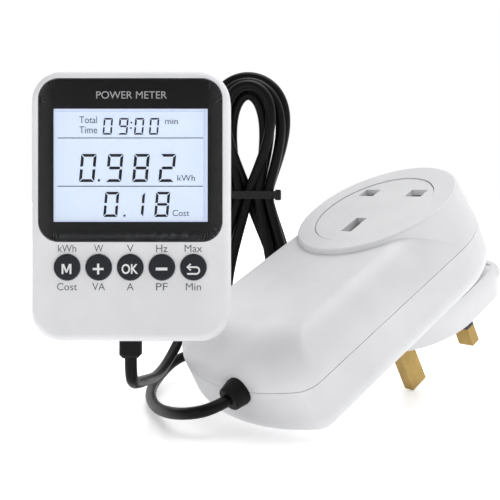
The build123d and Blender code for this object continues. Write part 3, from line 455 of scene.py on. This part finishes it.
# ---------------------------------------------------------------- cord
CORD_RADIUS = 1.9
HANK_X = -13.5
HANK_Y = 39.5
TIE_Z = 72.0
DISPLAY_ROUTE = [
    (-49.3, -36.6, 18.0),
    (-49.1, -32.8, 14.3),
    (-48.5, -22.8, 12.4),
    (-47.8, -8.8, 10.2),
    (-46.6, 7.2, 7.6),
    (-44.4, 20.2, 8.6),
    (-41.5, 31.2, 13.4),
    (-37.8, 38.7, 21.0),
    (-32.2, 42.7, 30.5),
]
PLUG_ROUTE = [
    (-24.2, -44.1, 8.8),
    (-30.7, -43.3, 7.2),
    (-37.5, -33.8, 5.0),
    (-43.2, -18.8, 2.9),
    (-47.2, -1.3, 1.95),
    (-48.8, 15.7, 1.95),
    (-46.8, 29.2, 4.1),
    (-42.2, 38.0, 7.8),
    (-35.2, 41.0, 10.4),
    (-27.2, 39.2, 9.0),
]
# Each turn of the hank: half width and height of its upper loop, the same below the tie, how far back
# its loops lie, and its place in the bundle at the tie, outwards and backwards.
TURNS = [
    dict(up=(12.2, 45.6), down=(16.5, 70.0), y=3.2, slot=(7.6, 2.0)),
    dict(up=(10.0, 43.0), down=(14.0, 66.4), y=-1.0, slot=(7.6, -2.0)),
    dict(up=(7.2, 40.6), down=(11.3, 62.4), y=3.0, slot=(3.8, 2.0)),
    dict(up=(4.9, 38.2), down=(8.4, 58.0), y=-0.8, slot=(3.8, -2.0)),
    dict(up=(8.8, 41.6), down=(14.6, 67.6), y=-4.9, slot=(0.0, -2.0)),
]
LOOP_STEPS = 9


def loop_point(step, side, direction, size, slot, depth):
    """A point of a drop-shaped loop that starts and ends at the tie: step 0 is at the tie and
    LOOP_STEPS is at the loop's far end. Side is -1 on the left and 1 on the right."""
    angle = math.pi * step / LOOP_STEPS
    half_width, height = size
    rise = (1 - math.cos(angle)) / 2
    swell = 1.425 * abs(math.sin(angle)) * math.sin(angle / 2) ** 1.5
    x = side * (slot[0] * (1 - rise) + half_width * swell)
    y = slot[1] + (depth - slot[1]) * min(1.0, 1.8 * rise)
    return (HANK_X + x, HANK_Y + y, TIE_Z + direction * height * rise)


def hank_turns():
    """The hank, from the first turn's rising strand on the left to the last turn's lowest point."""
    first = TURNS[0]
    for step in (4, 3, 2, 1):
        yield loop_point(step, -1, -1, first["down"], first["slot"], first["y"])
    for index, turn in enumerate(TURNS):
        last = index == len(TURNS) - 1
        start = 1 if last else -1
        # The last turn's falling strand passes the tie behind its rising one.
        behind = (turn["slot"][0], -turn["slot"][1])
        for step in range(0, 2 * LOOP_STEPS + 1):
            side = start if step <= LOOP_STEPS else -start
            slot = behind if last and step > LOOP_STEPS else turn["slot"]
            yield loop_point(step, side, 1, turn["up"], slot, turn["y"])
        following = turn if last else TURNS[index + 1]
        for step in range(1, (LOOP_STEPS if last else 2 * LOOP_STEPS - 1) + 1):
            down = step <= LOOP_STEPS
            share = step / (2 * LOOP_STEPS)
            depth = turn["y"] * (1 - share) + following["y"] * share
            yield loop_point(step, 1 if down else -1, -1, turn["down"],
                             (behind if last else turn["slot"]) if down else following["slot"], depth)


def end_of(node, direction):
    """The middle of a node's far face in a direction."""
    low, high = reach(node, direction)
    face = [vertex.co for vertex in NODES[node].data.vertices if vertex.co.dot(direction) > high - 1e-5]
    return sum(face, Vector()) / len(face)


def make_cord():
    """The whole cord as one smooth line: display boot, loose run, hank, loose run, plug unit."""
    boot_mouth = end_of("display_boot", -DISPLAY_UP)
    gland_mouth = end_of("cable_gland", Vector(JOINTS["shutter_slide"]["axis"]).normalized())
    route = [Vector(point) * MM for point in [*DISPLAY_ROUTE, *hank_turns(), *reversed(PLUG_ROUTE)]]
    points = [boot_mouth, *route, gland_mouth]
    curve = bpy.data.curves.new("cord", "CURVE")
    curve.dimensions = "3D"
    curve.resolution_u = 8
    curve.bevel_depth = CORD_RADIUS * MM
    curve.bevel_resolution = 6
    curve.use_fill_caps = True
    spline = curve.splines.new("NURBS")
    spline.points.add(len(points) - 1)
    for point, place in zip(spline.points, points):
        point.co = (*place, 1)
    spline.order_u = 3
    spline.use_endpoint_u = True
    curve.materials.append(LOOKS["cord_black"])
    cord = bpy.data.objects.new("cord", curve)
    bpy.context.scene.collection.objects.link(cord)
    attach(cord, "housings")
    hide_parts("cord_display_run", "cord_plug_run", "cord_hank")


# ---------------------------------------------------------------- studio
FLOOR_HALF = 4.0
FLOOR_GLOW = {"From Min": 0.1, "From Max": 0.6, "To Min": 0.42, "To Max": 1.0}


def make_floor():
    """A white table that glows more the further it is from the object, so that it has no far edge; near the object
    its glow is painted light that makes the object's shadow on it fainter.
    """
    material, shader, add = surface("studio_floor")
    blend_colours(material, add, shader, noise(add, 3.0, 2.0), (0.90, 0.90, 0.90), (0.92, 0.92, 0.92))
    shader.inputs["Roughness"].default_value = 0.3
    shader.inputs["Specular IOR Level"].default_value = 0.25
    place = add("ShaderNodeTexCoord").outputs["Object"]
    away = add("ShaderNodeVectorMath", [(place, 0)], operation="LENGTH").outputs["Value"]
    sweep = add("ShaderNodeMapRange", [(away, "Value")])
    for name, value in FLOOR_GLOW.items():
        sweep.inputs[name].default_value = value
    # Painted light: the floor's own glow, weakest near the object yet still lifting its shadow, full white further
    # away.
    shader.inputs["Emission Color"].default_value = (1, 1, 1, 1)
    link(material, sweep.outputs["Result"], shader.inputs["Emission Strength"])
    corners = [(x * FLOOR_HALF, y * FLOOR_HALF, 0) for x, y in ((-1, -1), (1, -1), (1, 1), (-1, 1))]
    mesh = bpy.data.meshes.new("floor")
    mesh.from_pydata(corners, [], [(0, 1, 2, 3)])
    mesh.materials.append(material)
    floor = bpy.data.objects.new("floor", mesh)
    bpy.context.scene.collection.objects.link(floor)


# Each light: its name, its place, what it points at, its size and its power.
LIGHTS = [
    ("overhead", (0.25, 0.15, 0.9), (0, 0, 0.05), (0.9, 0.7), 4.6),
    ("front_fill", (0.4, -0.95, 0.25), (0, 0, 0.06), (0.5, 0.5), 0.3),
    ("left_fill", (-0.75, -0.8, 0.4), (0, 0, 0.06), (0.5, 0.5), 1.2),
]


def area_light(name, place, target, size, power):
    """A rectangular lamp that faces its target."""
    light = bpy.data.lights.new(name, "AREA")
    light.shape = "RECTANGLE"
    light.size, light.size_y = size
    light.energy = power
    lamp = bpy.data.objects.new(name, light)
    lamp.location = place
    lamp.rotation_euler = (Vector(target) - Vector(place)).to_track_quat("-Z", "Y").to_euler()
    bpy.context.scene.collection.objects.link(lamp)


SKY_WHITE_TOWARD = (0.45, 0.75, 0.5)
SKY_WHITE_FROM = 0.55
SKY_DARK = (0.17, 0.17, 0.175, 1)


def make_sky():
    """A soft surround, white behind and above the object and dark grey in front and to the left."""
    world = bpy.data.worlds.new("studio")
    world.use_nodes = True
    nodes, links = world.node_tree.nodes, world.node_tree.links
    place = nodes.new("ShaderNodeTexCoord")
    toward = nodes.new("ShaderNodeVectorMath")
    toward.operation = "DOT_PRODUCT"
    toward.inputs[1].default_value = Vector(SKY_WHITE_TOWARD).normalized()
    links.new(place.outputs["Generated"], toward.inputs[0])
    ramp = nodes.new("ShaderNodeValToRGB")
    ramp.color_ramp.elements[0].position = 0.0
    ramp.color_ramp.elements[0].color = SKY_DARK
    ramp.color_ramp.elements[1].position = SKY_WHITE_FROM
    ramp.color_ramp.elements[1].color = (1, 1, 1, 1)
    links.new(toward.outputs["Value"], ramp.inputs["Fac"])
    links.new(ramp.outputs["Color"], nodes["Background"].inputs["Color"])
    bpy.context.scene.world = world


CAMERA_OFFSET = (35.5, -273.2, 5.9)
CAMERA_PITCH = 3.96
CAMERA_LENS = 66.3


def make_camera():
    """A nearly level view of the two units, placed from the middle of the display's face."""
    camera = bpy.data.objects.new("camera", bpy.data.cameras.new("camera"))
    camera.data.sensor_width = 36.0
    camera.data.lens = CAMERA_LENS
    camera.location = DISPLAY_CENTRE + Vector(CAMERA_OFFSET) * MM
    camera.rotation_euler = (math.radians(90 - CAMERA_PITCH), 0, 0)
    bpy.context.scene.collection.objects.link(camera)
    bpy.context.scene.camera = camera


dress_frame()
make_screen()
make_prints()
make_cord()
make_floor()
make_sky()
for light in LIGHTS:
    area_light(*light)
make_camera()
bpy.context.scene.view_settings.view_transform = "Standard"
